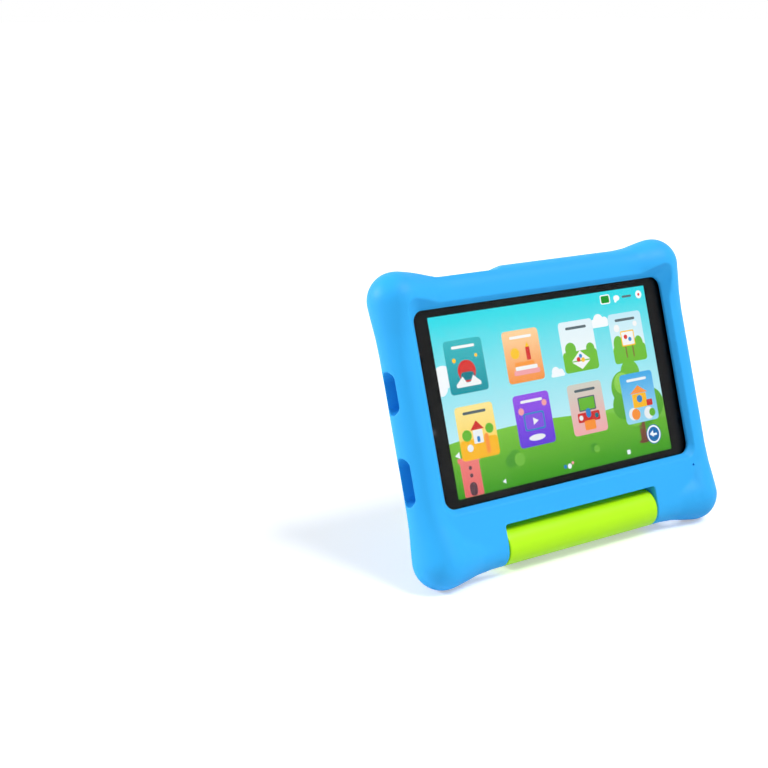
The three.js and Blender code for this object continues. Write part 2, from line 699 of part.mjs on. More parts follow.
// ---- the pieces, in the tablet's own frame ----
const upright = new THREE.Group();
upright.add(
  part('bumper_case', bumperCase(), BLUE),
  part('cover_glass', coverGlass(), GLASS),
  part('display_panel', displayPanel(), BLACK),
  part('backlight_unit', backlight(), WHITE),
  part('mid_frame', midFrame(), GREY),
  part('rear_housing', rearHousing(), GREY),
  part('camera_window', cameraWindow(), BLACK),
  part('camera_trim', cameraTrim(), SILVER),
  part('camera_lens', cameraLens(), GLASS),
  part('flash_lens', flashLens(), CREAM),
  part('rear_camera', rearCamera(), BLACK),
  part(
    'front_camera',
    cylinder('y', FRONT_CAMERA.r, displayY, innerY + 1, FRONT_CAMERA.x, FRONT_CAMERA.z),
    BLACK,
  ),
  part(
    'light_sensor',
    cylinder('y', LIGHT_SENSOR.r, displayY, webY + WEB_T, LIGHT_SENSOR.x, LIGHT_SENSOR.z, 16),
    BLACK,
  ),
  part('battery', between(battery, innerY, backWallY - GAP), SILVER),
  part('battery_lead', batteryLead(), FLEX),
  part('main_board', mainBoard(), CIRCUIT),
  part('shield_can', shieldCan(), STEEL),
  part('display_flex', displayFlex(), FLEX),
  part('usb_c_port', usbPort(), STEEL),
  part('headphone_jack', headphoneJack(), BLACK),
  part('card_slot', cardSlot(), STEEL),
  part('microphone', microphone(), STEEL),
  part('wifi_antenna', wifiAntenna(), FLEX),
  part('button_board', buttonBoard(), CIRCUIT),
  part('power_switch', keySwitch(POWER.x), STEEL),
  part('volume_up_switch', keySwitch(VOLUME.x + VOLUME.length / 2 - SWITCH.width), STEEL),
  part('volume_down_switch', keySwitch(VOLUME.x - VOLUME.length / 2 + SWITCH.width), STEEL),
  part('power_button', button(POWER), GREY),
  part('volume_rocker', button(VOLUME), GREY),
);
screwPlaces.forEach((place, index) => {
  upright.add(part(`board_screw_${index + 1}`, boardScrew(place), STEEL));
});
SIDE_OPENINGS.filter((opening) => opening.side < 0).forEach(({ z }, index) => {
  const name = ['speaker_upper', 'speaker_lower'][index];
  upright.add(part(name, slab(8, 20, innerY, backWallY - GAP, -portX + GAP + 4, z), BLACK));
});

// ---- the stand, turned about its hinge until the tip of the loop touches the ground ----
const lean = THREE.MathUtils.degToRad(LEAN);
const bulgeToHinge = new THREE.Vector2(hinge.y - midY, hinge.z - bulge.bottom);
const hingeHeight = BULGE_R - bulgeToHinge.x * Math.sin(lean) + bulgeToHinge.y * Math.cos(lean);
const tipDrop = hingeHeight - barrelR;
const standTurn = Math.PI / 2 - lean + Math.asin(tipDrop / LOOP_LENGTH);

const hingeFrame = new THREE.Group();
hingeFrame.position.set(0, hinge.y, hinge.z);
hingeFrame.add(
  part('hinge_bushing_left', hingeBushing(-1), BRASS),
  part('hinge_bushing_right', hingeBushing(1), BRASS),
);
const stand = new THREE.Group();
stand.rotation.x = -standTurn;
stand.add(
  part('stand', standBody(), GREEN),
  part('hinge_pin_left', hingePin(-1), STEEL),
  part('hinge_pin_right', hingePin(1), STEEL),
);
hingeFrame.add(stand);
upright.add(hingeFrame);

// ---- the tablet leans back on its lower bulges and the loop ----
upright.rotation.x = -lean;
const group = new THREE.Group();
group.add(upright);
group.updateMatrixWorld(true);
const bounds = new THREE.Box3().setFromObject(group, true);
const centre = bounds.getCenter(new THREE.Vector3());
upright.position.set(0, -centre.y, -bounds.min.z);

export default group;
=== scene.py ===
"""Kids toy tablet: an 8 inch tablet in a thick moulded bumper on its folding loop stand."""
import math

import bmesh
import bpy
from mathutils import Matrix, Vector


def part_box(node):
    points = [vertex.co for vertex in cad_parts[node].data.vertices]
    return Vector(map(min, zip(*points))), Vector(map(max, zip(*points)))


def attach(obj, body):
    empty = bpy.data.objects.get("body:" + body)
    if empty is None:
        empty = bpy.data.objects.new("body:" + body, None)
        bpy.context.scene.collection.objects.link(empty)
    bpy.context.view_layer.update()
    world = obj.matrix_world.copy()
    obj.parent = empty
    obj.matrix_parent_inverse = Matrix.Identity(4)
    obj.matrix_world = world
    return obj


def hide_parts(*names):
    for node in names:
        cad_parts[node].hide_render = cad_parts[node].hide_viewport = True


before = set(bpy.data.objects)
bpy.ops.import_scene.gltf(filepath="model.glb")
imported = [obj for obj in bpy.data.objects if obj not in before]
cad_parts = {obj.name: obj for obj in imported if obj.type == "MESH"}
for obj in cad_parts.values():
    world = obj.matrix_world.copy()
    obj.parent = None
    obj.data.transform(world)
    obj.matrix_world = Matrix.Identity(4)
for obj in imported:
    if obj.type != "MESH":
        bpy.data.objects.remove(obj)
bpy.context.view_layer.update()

MM = 0.001


# ---- camera, lamps and floor ----
# The tablet is seen from its left and a little above, on a pale table under soft studio light.
# A long soft box on the right is what shows as a slanting sheen across the glass.
EYE = (-0.5257, -0.6327, 0.3258)
LOOK = (0.5314, 0.8028, -0.2706)

bpy.ops.object.select_all(action="DESELECT")
scene = bpy.context.scene
scene.view_settings.view_transform = "Standard"
bpy.ops.object.camera_add(location=EYE)
camera = bpy.context.object
camera.name = "studio_camera"
camera.rotation_euler = Vector(LOOK).to_track_quat("-Z", "Y").to_euler()
camera.data.lens = 62.6
camera.data.sensor_width = 36
scene.camera = camera


def take_name(piece, name):
    piece.name = name
    piece.data.name = name
    return piece


def sun(name, rotation, energy, spread):
    bpy.ops.object.light_add(type="SUN", rotation=rotation)
    lamp = take_name(bpy.context.object, name)
    lamp.data.energy = energy
    lamp.data.angle = math.radians(spread)


def soft_box(name, edge, aim, width, height, power):
    """A lit panel that faces the aim, with one long side along the given edge."""
    top, foot = edge
    up = (top - foot).normalized()
    across = (aim - top).cross(up).normalized()
    bpy.ops.object.light_add(type="AREA", location=(top + foot) / 2 - across * width / 2)
    lamp = take_name(bpy.context.object, name)
    lamp.data.shape = "RECTANGLE"
    lamp.data.size = width
    lamp.data.size_y = height
    lamp.data.energy = power
    lamp.rotation_euler = Matrix((across, up, across.cross(up))).transposed().to_euler()


sun("overhead_bank", (math.radians(34), 0, math.radians(28)), 2.2, 24)
sun("rear_bank", Vector((0.75, -0.55, -0.38)).to_track_quat("-Z", "Y").to_euler(), 2.4, 10)
SHEEN_EDGE = (Vector((1.653, -1.848, 0.871)), Vector((1.496, -2.100, 0.439)))
soft_box("sheen_soft_box", SHEEN_EDGE, Vector((0, 0, 0.1)), 0.7, 1.5, 3)

world = bpy.data.worlds.new("pale_studio")
scene.world = world
world.use_nodes = True
sky = world.node_tree.nodes
sky_links = world.node_tree.links
surround = sky["Background"]
surround.inputs["Color"].default_value = (0.97, 0.985, 1.0, 1)
surround.inputs["Strength"].default_value = 0.25
white_wall = sky.new("ShaderNodeBackground")
white_wall.inputs["Color"].default_value = (1, 1, 1, 1)
white_wall.inputs["Strength"].default_value = 1.0
seen = sky.new("ShaderNodeLightPath")
choose = sky.new("ShaderNodeMixShader")
shown = sky.new("ShaderNodeMath")
shown.operation = "MAXIMUM"
mirrored = sky.new("ShaderNodeMath")
mirrored.operation = "MAXIMUM"
sky_links.new(seen.outputs["Is Glossy Ray"], mirrored.inputs[0])
sky_links.new(seen.outputs["Is Transmission Ray"], mirrored.inputs[1])
sky_links.new(seen.outputs["Is Camera Ray"], shown.inputs[0])
sky_links.new(mirrored.outputs[0], shown.inputs[1])
sky_links.new(shown.outputs[0], choose.inputs[0])
sky_links.new(surround.outputs[0], choose.inputs[1])
sky_links.new(white_wall.outputs[0], choose.inputs[2])
sky_links.new(choose.outputs[0], sky["World Output"].inputs["Surface"])

bpy.ops.mesh.primitive_plane_add(size=60, location=(0, 0, 0))
floor = bpy.context.object
floor.name = "pale_table"
table_top = bpy.data.materials.new("pale_table_top")
table_top.use_nodes = True
top_nodes = table_top.node_tree.nodes
top_links = table_top.node_tree.links
matt = top_nodes["Principled BSDF"]
matt.inputs["Roughness"].default_value = 0.85
matt.inputs["Specular IOR Level"].default_value = 0.1
speckle = top_nodes.new("ShaderNodeTexNoise")
speckle.inputs["Scale"].default_value = 900
tint = top_nodes.new("ShaderNodeMix")
tint.data_type = "RGBA"
tint.inputs[6].default_value = (0.83, 0.835, 0.84, 1)
tint.inputs[7].default_value = (0.85, 0.85, 0.85, 1)
where = top_nodes.new("ShaderNodeTexCoord")
top_links.new(where.outputs["Object"], speckle.inputs["Vector"])
top_links.new(speckle.outputs[0], tint.inputs[0])
top_links.new(tint.outputs[2], matt.inputs["Base Color"])
lift = top_nodes.new("ShaderNodeEmission")
lift.inputs["Strength"].default_value = 0.40
both = top_nodes.new("ShaderNodeAddShader")
top_links.new(matt.outputs[0], both.inputs[0])
top_links.new(lift.outputs[0], both.inputs[1])
top_seen = top_nodes.new("ShaderNodeLightPath")
top_choose = top_nodes.new("ShaderNodeMixShader")
top_links.new(top_seen.outputs["Is Camera Ray"], top_choose.inputs[0])
top_links.new(matt.outputs[0], top_choose.inputs[1])
top_links.new(both.outputs[0], top_choose.inputs[2])
top_links.new(top_choose.outputs[0], top_nodes["Material Output"].inputs["Surface"])
floor.data.materials.append(table_top)


# ---- bumper case ----
# One thick moulding in soft blue foam, with four swollen corners and a rounded rim all round.
# It is modelled upright about the middle of the screen, carved, softened, then leaned back.
TABLET_WIDTH = 208
TABLET_HEIGHT = 121.5
TABLET_BACK = 9.2
LEAN = math.radians(18.2)
RIM = 12.25                # radius of the rounded rim
RIM_MIDDLE = 6.8           # how far the rim's middle lies behind the glass
SIDE = 117.3
TOP = 79.4
BOTTOM = -99.3
BULGE = 17.3
BULGE_X = 101.5
BULGE_TOP = 66.6
BULGE_BOTTOM = -86.5
BULGE_FADE = ((10, 0.62), (19, 0.22), (32, 0.0))    # distance along the rim, share of the bulge left
HINGE_Z = BOTTOM + RIM
PANEL = 15.1               # depth of the recessed back panel
PANEL_Z = -11.2
GROOVE = 12.3              # depth of the groove that the loop folds into
CUBE_EDGE = 13.0           # edge of one block in the tumbling block relief
CUBE_RISE = 1.5            # half the height from a block's valley to its peak
CAMERA_X, CAMERA_Z = -92, 41.5
LOOP = {"half": 59.7, "low": 0, "middle": 55, "high": 122, "corner": 1}
HAND_HOLE = {"half": 38.5, "low": 17, "middle": 52, "high": 105, "corner": 23}
FOAM_BLUE = (0.032, 0.455, 1.0, 1)
FOAM_WORN = (0.120, 0.520, 1.0, 1)

glass_low, glass_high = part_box("cover_glass")
leaning = Matrix.Rotation(-LEAN, 4, "X")
glass_middle = leaning @ Vector((0, 0.45 * MM, 0))
TABLET_PLACE = Matrix.Translation((glass_low + glass_high) / 2 - glass_middle) @ leaning


def alone(piece):
    bpy.ops.object.select_all(action="DESELECT")
    piece.select_set(True)
    bpy.context.view_layer.objects.active = piece


def edit(piece, kind, wanted):
    """Opens the piece in edit mode with only the wanted points, edges or faces selected."""
    alone(piece)
    bpy.ops.object.mode_set(mode="EDIT")
    bpy.ops.mesh.select_mode(type=kind)
    bpy.ops.mesh.select_all(action="DESELECT")
    shape = bmesh.from_edit_mesh(piece.data)
    for item in {"VERT": shape.verts, "EDGE": shape.edges, "FACE": shape.faces}[kind]:
        if kind == "VERT":
            chosen = wanted(item.co / MM, item.normal)
        elif kind == "EDGE":
            a, b = item.verts
            chosen = wanted((a.co + b.co) / (2 * MM), (b.co - a.co).normalized())
        else:
            chosen = wanted(item.calc_center_median() / MM, item.normal)
        item.select_set(bool(chosen))
    shape.select_flush_mode()
    bmesh.update_edit_mesh(piece.data)


def close_edit():
    bpy.ops.object.mode_set(mode="OBJECT")


def everything(place, direction):
    return True


def soften(piece, wanted, radius, steps):
    """Rounds the wanted edges."""
    edit(piece, "EDGE", wanted)
    bpy.ops.mesh.bevel(offset=radius * MM, segments=steps, affect="EDGES")
    close_edit()
    return piece


def stretch(factors, about):
    bpy.ops.transform.resize(value=factors, center_override=[value * MM for value in about])


def shift(piece, wanted, move):
    """Moves the wanted points by a distance in millimetres."""
    edit(piece, "VERT", wanted)
    bpy.ops.transform.translate(value=[value * MM for value in move])
    close_edit()


def squeeze(piece, kind, wanted, factors, about):
    edit(piece, kind, wanted)
    stretch(factors, about)
    close_edit()
    return piece


def face_outwards(piece):
    edit(piece, "FACE", everything)
    bpy.ops.mesh.normals_make_consistent(inside=False)
    close_edit()


def settle(piece):
    alone(piece)
    bpy.ops.object.transform_apply(location=True, rotation=True, scale=True)
    return piece


def block(name, width, depth, height, x=0, y=0, z=0):
    bpy.ops.mesh.primitive_cube_add(size=1, location=(x * MM, y * MM, z * MM))
    piece = take_name(bpy.context.object, name)
    piece.scale = (width * MM, depth * MM, height * MM)
    return settle(piece)


def rounded_plate(name, width, height, corner, front, back, x=0, z=0, steps=8):
    """A plate with rounded corners that faces forwards, from one depth to another."""
    piece = block(name, width, back - front, height, x, (front + back) / 2, z)
    return soften(piece, lambda place, way: abs(way.y) > 0.9, corner, steps)


def disc(name, radius, front, back, x=0, z=0, points=32):
    middle = (x * MM, (front + back) / 2 * MM, z * MM)
    bpy.ops.mesh.primitive_cylinder_add(vertices=points, radius=radius * MM, depth=(back - front) * MM,
                                        location=middle, rotation=(math.pi / 2, 0, 0))
    return settle(take_name(bpy.context.object, name))


def rod(name, radius, length, x=0, y=0, z=0, points=48):
    bpy.ops.mesh.primitive_cylinder_add(vertices=points, radius=radius * MM, depth=length * MM,
                                        location=(x * MM, y * MM, z * MM), rotation=(0, math.pi / 2, 0))
    return settle(take_name(bpy.context.object, name))


def apply(piece, modifier):
    alone(piece)
    bpy.ops.object.modifier_apply(modifier=modifier.name)


def fit(piece, tool, how, solver="MANIFOLD"):
    joint = piece.modifiers.new(how, "BOOLEAN")
    joint.operation = how
    joint.solver = solver
    joint.object = tool
    apply(piece, joint)
    bpy.data.objects.remove(tool)
    return piece


def carve(piece, *tools):
    for tool in tools:
        fit(piece, tool, "DIFFERENCE")
    return piece


def join(name, pieces):
    bpy.ops.object.select_all(action="DESELECT")
    for piece in pieces:
        piece.select_set(True)
    bpy.context.view_layer.objects.active = pieces[0]
    bpy.ops.object.join()
    return take_name(bpy.context.object, name)


def fuse(piece, grain, passes):
    """Melts overlapping closed shapes into one skin and softens its edges."""
    skin = piece.modifiers.new("skin", "REMESH")
    skin.mode = "VOXEL"
    skin.voxel_size = grain * MM
    apply(piece, skin)
    ease = piece.modifiers.new("ease", "SMOOTH")
    ease.factor = 0.5
    ease.iterations = passes
    apply(piece, ease)
    return piece


def thin_out(piece, triangles):
    piece.data.calc_loop_triangles()
    share = triangles / len(piece.data.loop_triangles)
    if share < 1:
        fewer = piece.modifiers.new("fewer", "DECIMATE")
        fewer.ratio = share
        apply(piece, fewer)
    return piece


def smooth(piece, degrees=35):
    alone(piece)
    bpy.ops.object.shade_smooth_by_angle(angle=math.radians(degrees))
    return piece


def lean_back(piece):
    piece.matrix_world = TABLET_PLACE @ piece.matrix_world
    return settle(piece)


def loop_block(name, outline, grow, front, back, base=0):
    """A block with the rounded outline of the loop or of its hand hole."""
    half = outline["half"] + grow
    low, middle, high = outline["low"] - grow, outline["middle"], outline["high"] + grow
    size = 1000
    arch = disc(name, size, front, back, points=96)
    squeeze(arch, "VERT", everything, (half / size, 1, (high - middle) / size), (0, 0, 0))
    squeeze(arch, "VERT", lambda place, way: place.z < -0.01, (1, 1, 0.02), (0, 0, 0))
    arch.location.z = (base + middle) * MM
    settle(arch)
    top = middle + outline["corner"]
    foot = rounded_plate(name + "_foot", 2 * half, top - low, outline["corner"], front, back,
                         z=base + (top + low) / 2, steps=10)
    return fit(arch, foot, "UNION")


def corner_hull(ends):
    balls = []
    for x, z, radius in ends:
        bpy.ops.mesh.primitive_uv_sphere_add(segments=32, ring_count=16, radius=radius * MM,
                                             location=(x * MM, RIM_MIDDLE * MM, z * MM))
        balls.append(settle(bpy.context.object))
    link = join("corner_link", balls)
    edit(link, "VERT", everything)
    bpy.ops.mesh.convex_hull()
    close_edit()
    return link


def swollen_corner(side, z, inward, rim_z):
    """The bulge fades into the rim along both edges that meet at the corner."""
    rim_x = SIDE - RIM
    links = []
    for along_side in (True, False):
        before = (side * BULGE_X, z, BULGE)
        for reach, share in BULGE_FADE:
            radius = RIM + share * (BULGE - RIM)
            if along_side:
                after = (side * (rim_x + share * (BULGE_X - rim_x)), z + inward * reach, radius)
            else:
                after = (side * (BULGE_X - reach), rim_z + share * (z - rim_z), radius)
            links.append(corner_hull([before, after]))
            before = after
    return links


def rounded_rim_block():
    piece = block("bumper_case_skin", 2 * SIDE, 2 * RIM, TOP - BOTTOM, 0, RIM_MIDDLE, (TOP + BOTTOM) / 2)
    return soften(piece, everything, RIM - 0.01, 12)


def tumbling_blocks():
    """Hexagon cells raised at their middle and at three corners, laid side by side."""
    pitch = CUBE_EDGE * math.sqrt(3)
    left, base = -9 * pitch, BOTTOM + 8
    bpy.ops.mesh.primitive_circle_add(vertices=6, radius=CUBE_EDGE * MM, fill_type="TRIFAN",
                                      location=(left * MM, 0, base * MM), rotation=(math.pi / 2, 0, 0))
    cell = settle(take_name(bpy.context.object, "tumbling_blocks"))

    def raised_corner(place, way):
        foot = place.z < base - 10
        shoulder = place.z > base + 2 and abs(place.x - left) > 5
        return foot or shoulder

    shift(cell, lambda place, way: abs(place.x - left) + abs(place.z - base) < 1, (0, 2 * CUBE_RISE, 0))
    shift(cell, raised_corner, (0, CUBE_RISE, 0))
    for count, offset in ((16, (pitch, 0, 0)), (9, (-pitch / 2, 0, 1.5 * CUBE_EDGE))):
        rows = cell.modifiers.new("rows", "ARRAY")
        rows.use_relative_offset = False
        rows.use_constant_offset = True
        rows.constant_offset_displace = [value * MM for value in offset]
        rows.count = count
        rows.use_merge_vertices = True
        rows.merge_threshold = 0.05 * MM
        apply(cell, rows)
    edit(cell, "VERT", everything)
    bpy.ops.mesh.remove_doubles(threshold=0.05 * MM)
    close_edit()
    edit(cell, "FACE", everything)
    bpy.ops.mesh.extrude_region_move(TRANSFORM_OT_translate={"value": (0, -6 * MM, 0)})
    stretch((1, 0, 1), (0, -5, 0))
    close_edit()
    face_outwards(cell)
    cell.location.y = (PANEL - CUBE_RISE) * MM
    settle(cell)
    border = rounded_plate("panel_border", 214, 148, 10, PANEL - 3, PANEL + 3, z=PANEL_Z)
    return fit(cell, border, "INTERSECT", "EXACT")


def flared_opening(name, width, height, corner, front, back, flare, x=0, z=0, outwards=-1):
    """A rounded hole whose far end opens out, towards the front or the back."""
    piece = rounded_plate(name, width, height, corner, front, back, x, z, steps=10)
    mouth = front if outwards < 0 else back
    reach = 20
    edit(piece, "FACE", lambda place, way: abs(place.y - mouth) < 0.01 and abs(way.y) > 0.9)
    bpy.ops.mesh.extrude_region_move(TRANSFORM_OT_translate={"value": (0, outwards * reach * MM, 0)})
    grow = flare * reach
    stretch(((width + 2 * grow) / width, 1, (height + 2 * grow) / height), (x, 0, z))
    close_edit()
    return piece


def side_opening(side, z, length):
    piece = block("side_opening", 30, 10.4, length, side * 118, 7.2, z)
    soften(piece, lambda place, way: abs(way.x) > 0.9, 5.19, 8)
    return squeeze(piece, "FACE", lambda place, way: way.x * side > 0.9, (1, 1.5, 1.22), (0, 7.2, z))


def button_scoop():
    left, right = -84, -22
    middle, width, ramp = (left + right) / 2, right - left, 16
    dish = block("button_scoop", width - ramp, 60, 5.4, middle, 0, TOP)
    squeeze(dish, "VERT", lambda place, way: place.z > TOP,
            ((width + ramp) / (width - ramp), 1, 1), (middle, 0, 0))
    slot = block("button_slot", width - 24, 10, 40, middle, 7.5, TABLET_HEIGHT / 2 + 19)
    return dish, soften(slot, lambda place, way: abs(way.z) > 0.9, 3.5, 6)


links = [rounded_rim_block()]
for side in (-1, 1):
    links += swollen_corner(side, BULGE_TOP, -1, TOP - RIM)
    links += swollen_corner(side, BULGE_BOTTOM, 1, HINGE_Z)
bumper = fuse(join("bumper_case_skin", links), 1.4, 9)
carve(bumper, flared_opening("panel_recess", 210, 144, 9, PANEL - CUBE_RISE, 16, 0.245, z=PANEL_Z,
                             outwards=1))
fit(bumper, tumbling_blocks(), "UNION")
groove = loop_block("stand_groove", LOOP, 0.8, GROOVE, 30, HINGE_Z)
carve(groove, loop_block("groove_island", HAND_HOLE, -0.8, 0, 40, HINGE_Z))
carve(bumper, groove)
fit(bumper, rounded_plate("camera_collar", 29.2, 41.2, 14.59, TABLET_BACK, RIM_MIDDLE + RIM - 0.9,
                          CAMERA_X, CAMERA_Z, steps=12), "UNION")
carve(
    bumper,
    flared_opening("glass_opening", 195.7, 116.8, 7, -2.2, 3, 0.954),
    rounded_plate("tablet_pocket", TABLET_WIDTH + 0.6, TABLET_HEIGHT + 0.6, 8, -0.3, TABLET_BACK + 0.3),
    rod("stand_notch", 17.7, 120.6, 0, RIM_MIDDLE, HINGE_Z, points=96),
    rod("bushing_bore", 4, 140, 0, RIM_MIDDLE, HINGE_Z),
    flared_opening("camera_well", 16, 29, 7.99, 6, TABLET_BACK, 0.48, CAMERA_X, CAMERA_Z, 1),
    side_opening(-1, 14, 23),
    side_opening(-1, -38, 26),
    side_opening(1, 40, 30),
    side_opening(1, 5, 15),
    side_opening(1, -29, 32),
    *button_scoop(),
)
fuse(bumper, 0.75, 1)
thin_out(bumper, 185000)
carve(bumper, disc("mic_hole", 0.8, -12, -3, 96.7, -66.6, points=16))
smooth(bumper, 60)
lean_back(bumper)


# The finish that every moulded and metal piece shares, and the ways to make and change one.
def handled_surface():
    """Shared group: faint mottling, moulding grain, finger smears and paler rubbed edges."""
    group = bpy.data.node_groups.new("handled_surface", "ShaderNodeTree")
    sockets = (("Colour", "NodeSocketColor"), ("Worn Colour", "NodeSocketColor"),
               ("Roughness", "NodeSocketFloat"), ("Mottling", "NodeSocketFloat"),
               ("Grain Scale", "NodeSocketFloat"), ("Grain Depth", "NodeSocketFloat"),
               ("Edge Wear", "NodeSocketFloat"))
    for name, kind in sockets:
        group.interface.new_socket(name, in_out="INPUT", socket_type=kind)
    for name, kind in (("Colour", "NodeSocketColor"), ("Roughness", "NodeSocketFloat"),
                       ("Normal", "NodeSocketVector")):
        group.interface.new_socket(name, in_out="OUTPUT", socket_type=kind)
    nodes, wires = group.nodes, group.links
    given = nodes.new("NodeGroupInput")
    result = nodes.new("NodeGroupOutput")
    place = nodes.new("ShaderNodeTexCoord")

    def noise(scale, detail):
        node = nodes.new("ShaderNodeTexNoise")
        node.inputs["Scale"].default_value = scale
        node.inputs["Detail"].default_value = detail
        wires.new(place.outputs["Object"], node.inputs["Vector"])
        return node

    def sums(operation, first, second=None, third=None):
        node = nodes.new("ShaderNodeMath")
        node.operation = operation
        for socket, value in zip(node.inputs, (first, second, third)):
            if value is None:
                continue
            if isinstance(value, (int, float)):
                socket.default_value = value
            else:
                wires.new(value, socket)
        return node.outputs[0]

    cloudy = noise(22, 3)
    smears = noise(95, 4)
    smears.inputs["Distortion"].default_value = 1.2
    grain = noise(1000, 2)
    wires.new(given.outputs["Grain Scale"], grain.inputs["Scale"])
    shift = sums("MULTIPLY", sums("SUBTRACT", cloudy.outputs[0], 0.5), given.outputs["Mottling"])
    fleck = sums("MULTIPLY", given.outputs["Mottling"], 0.35)
    speck = sums("MULTIPLY", sums("SUBTRACT", grain.outputs[0], 0.5), fleck)
    level = sums("ADD", sums("ADD", shift, speck), 1.0)
    tone = nodes.new("ShaderNodeHueSaturation")
    wires.new(given.outputs["Colour"], tone.inputs["Color"])
    wires.new(level, tone.inputs["Value"])
    bend = nodes.new("ShaderNodeNewGeometry")
    edge = nodes.new("ShaderNodeMapRange")
    edge.inputs["From Min"].default_value = 0.53
    edge.inputs["From Max"].default_value = 0.62
    wires.new(bend.outputs["Pointiness"], edge.inputs["Value"])
    rubbed = sums("MULTIPLY", edge.outputs[0], given.outputs["Edge Wear"])
    rubbed = sums("MULTIPLY", rubbed, smears.outputs[0])
    worn = nodes.new("ShaderNodeMix")
    worn.data_type = "RGBA"
    wires.new(rubbed, worn.inputs[0])
    wires.new(tone.outputs[0], worn.inputs[6])
    wires.new(given.outputs["Worn Colour"], worn.inputs[7])
    wires.new(worn.outputs[2], result.inputs["Colour"])
    smear_shift = sums("MULTIPLY", sums("SUBTRACT", smears.outputs[0], 0.5), 0.22)
    grain_shift = sums("MULTIPLY", sums("SUBTRACT", grain.outputs[0], 0.5), 0.10)
    roughness = sums("ADD", sums("ADD", given.outputs["Roughness"], smear_shift), grain_shift)
    wires.new(roughness, result.inputs["Roughness"])
    bump = nodes.new("ShaderNodeBump")
    bump.inputs["Distance"].default_value = 0.0001
    wires.new(given.outputs["Grain Depth"], bump.inputs["Strength"])
    wires.new(grain.outputs[0], bump.inputs["Height"])
    wires.new(bump.outputs[0], result.inputs["Normal"])
    return group


HANDLED = handled_surface()


def moulded(name, colour, worn, roughness, mottling=0.08, grain_scale=1400, grain_depth=0.25, edge_wear=0.5):
    material = bpy.data.materials.new(name)
    material.use_nodes = True
    nodes, wires = material.node_tree.nodes, material.node_tree.links
    surface = nodes.new("ShaderNodeGroup")
    surface.node_tree = HANDLED
    values = (("Colour", colour), ("Worn Colour", worn), ("Roughness", roughness), ("Mottling", mottling),
              ("Grain Scale", grain_scale), ("Grain Depth", grain_depth), ("Edge Wear", edge_wear))
    for socket, value in values:
        surface.inputs[socket].default_value = value
    shader = nodes["Principled BSDF"]
    wires.new(surface.outputs["Colour"], shader.inputs["Base Color"])
    wires.new(surface.outputs["Roughness"], shader.inputs["Roughness"])
    wires.new(surface.outputs["Normal"], shader.inputs["Normal"])
    return material


def adjust(material, socket, value):
    """Sets one plain value of a material's shader."""
    material.node_tree.nodes["Principled BSDF"].inputs[socket].default_value = value
    return material


def dress(piece, material):
    piece.data.materials.clear()
    piece.data.materials.append(material)
    return piece


foam = moulded("blue_foam", FOAM_BLUE, FOAM_WORN, 0.50, mottling=0.07, grain_scale=2200, grain_depth=0.35)
adjust(foam, "Specular IOR Level", 0.22)
dress(bumper, foam)
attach(bumper, "tablet")
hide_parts("bumper_case")


# ---- loop stand ----
# One glossy green moulding: a flat loop that is also the carrying handle, and a trough along its
# root that turns inside the bumper's rounded bottom edge. Modelled folded, about its hinge.
BARREL = 12.1
PLATE = 5.6
WALL = 2.7
RIB = 2
RIB_X = 26
STAND_WIDTH = 119.4
STAND_TURN = math.radians(73.997)
STAND_GREEN = (0.500, 0.970, 0.0, 1)
STAND_WORN = (0.680, 1.0, 0.03, 1)
HINGE_PLACE = TABLET_PLACE @ Matrix.Translation((0, RIM_MIDDLE * MM, HINGE_Z * MM))
STAND_PLACE = HINGE_PLACE @ Matrix.Rotation(-STAND_TURN, 4, "X")


def trough_shell():
    bpy.ops.mesh.primitive_plane_add(size=1, location=(0, (BARREL - WALL / 2) * MM, 0))
    shell = take_name(bpy.context.object, "trough_shell")
    shell.scale = (STAND_WIDTH * MM, WALL * MM, 1)
    settle(shell)
    edit(shell, "FACE", everything)
    bpy.ops.mesh.spin(steps=36, angle=math.pi, center=(0, 0, 0), axis=(1, 0, 0))
    bpy.ops.mesh.extrude_region_move(TRANSFORM_OT_translate={"value": (0, -3.5 * MM, 8.35 * MM)})
    stretch((1, 0.8, 1), (0, -14.1, 8.35))
    close_edit()
    face_outwards(shell)
    return shell


def half_disc(name, radius, width, x, flat_at):
    """A disc across the hinge with everything above one height pressed flat."""
    piece = rod(name, radius, width, x, points=64)
    return squeeze(piece, "VERT", lambda place, way: place.z > flat_at, (1, 1, 0), (0, 0, flat_at))


def end_wall(side):
    x = side * (STAND_WIDTH - WALL) / 2
    lower = half_disc("end_wall", BARREL, WALL, x, 0.3)
    upper = block("end_wall_top", WALL, 24, 10, x, 0, 5)
    shift(upper, lambda place, way: place.y < 0 and place.z > 5, (0, -2.4, -1.4))
    shift(upper, lambda place, way: place.y > 0 and place.z > 5, (0, 0, 2))
    return [lower, upper]


def rib(x):
    lower = half_disc("rib", BARREL - 1, RIB, x, 1.2)
    upper = block("rib_top", RIB, 6, 9, x, 6.5, 5)
    shift(upper, lambda place, way: place.y < 6.5 and place.z > 5, (0, 0, -6.5))
    return [lower, upper]


plate = loop_block("loop_plate", LOOP, 0, BARREL - PLATE, BARREL)
carve(plate, loop_block("hand_hole", HAND_HOLE, 0, 0, 40))
parts = [plate, trough_shell(), *end_wall(-1), *end_wall(1), *rib(-RIB_X), *rib(RIB_X),
         block("catch", 13, 3, 3, 0, BARREL - PLATE - 1, 9)]
stand = fuse(join("loop_stand", parts), 0.55, 3)
carve(stand, rod("pin_hole", 2.3, 140))
thin_out(stand, 110000)
smooth(stand, 60)
stand.matrix_world = STAND_PLACE
settle(stand)
green = moulded("green_plastic", STAND_GREEN, STAND_WORN, 0.34, mottling=0.05, grain_scale=1500,
                grain_depth=0.10, edge_wear=0.9)
adjust(green, "Specular IOR Level", 0.3)
dress(stand, green)
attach(stand, "loop_stand")
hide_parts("stand")


